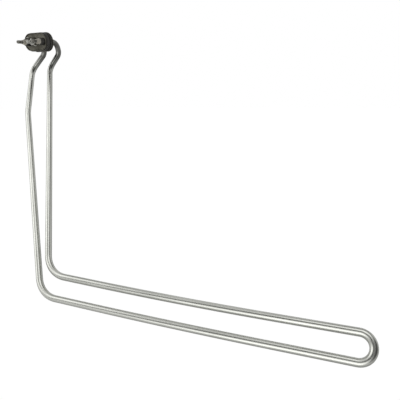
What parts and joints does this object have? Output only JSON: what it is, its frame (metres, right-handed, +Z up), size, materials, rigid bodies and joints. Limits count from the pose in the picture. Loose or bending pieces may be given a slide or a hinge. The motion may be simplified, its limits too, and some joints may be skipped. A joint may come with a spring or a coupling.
{
  "type": "tubular heating element",
  "caption": "L-shaped hairpin of steel-sheathed heating tube whose hooked ends enter an oval rubber compression plug with clamp stud, screw terminals and earth blade.",
  "frame": {"origin": "on the compression plug's axis, in the middle of the groove that takes the tank wall", "axes": "+Y along the plug's axis into the tank, -Y out to the terminals, +X along the runs from the corner to the end bend, +Z up"},
  "size_m": [0.5774, 0.2514, 0.3366],
  "materials": {
    "stainless_sheath": "satin drawn stainless steel",
    "stainless_plate": "dull pressed stainless steel",
    "plated_steel": "bright nickel-plated steel",
    "terminal_steel": "dull nickel-plated steel thread",
    "black_rubber": "matte moulded rubber",
    "pale_ceramic": "fine unglazed steatite",
    "braze_metal": "dull silver braze",
    "magnesia": "compacted white powder",
    "resistance_wire": "grey oxidised nickel-chrome",
    "mild_steel_pin": "plain drawn steel",
    "seal_compound": "hard silicone resin"
  },
  "bodies": {
    "root": {"sheath_tube": "stainless_sheath", "insulating_fill": "magnesia", "heating_coil": "resistance_wire", "rubber_seal": "black_rubber", "back_plate": "stainless_plate", "front_plate": "stainless_plate", "clamp_stud": "plated_steel", "washer": "plated_steel", "earth_tab": "plated_steel", "lock_washer": "plated_steel", "clamp_nut": "plated_steel", "cold_pin_left": "mild_steel_pin", "end_seal_left": "seal_compound", "terminal_insulator_left": "pale_ceramic", "terminal_stud_left": "terminal_steel", "braze_ring_left": "braze_metal", "cold_pin_right": "mild_steel_pin", "end_seal_right": "seal_compound", "terminal_insulator_right": "pale_ceramic", "terminal_stud_right": "terminal_steel", "braze_ring_right": "braze_metal"}
  },
  "joints": []
}
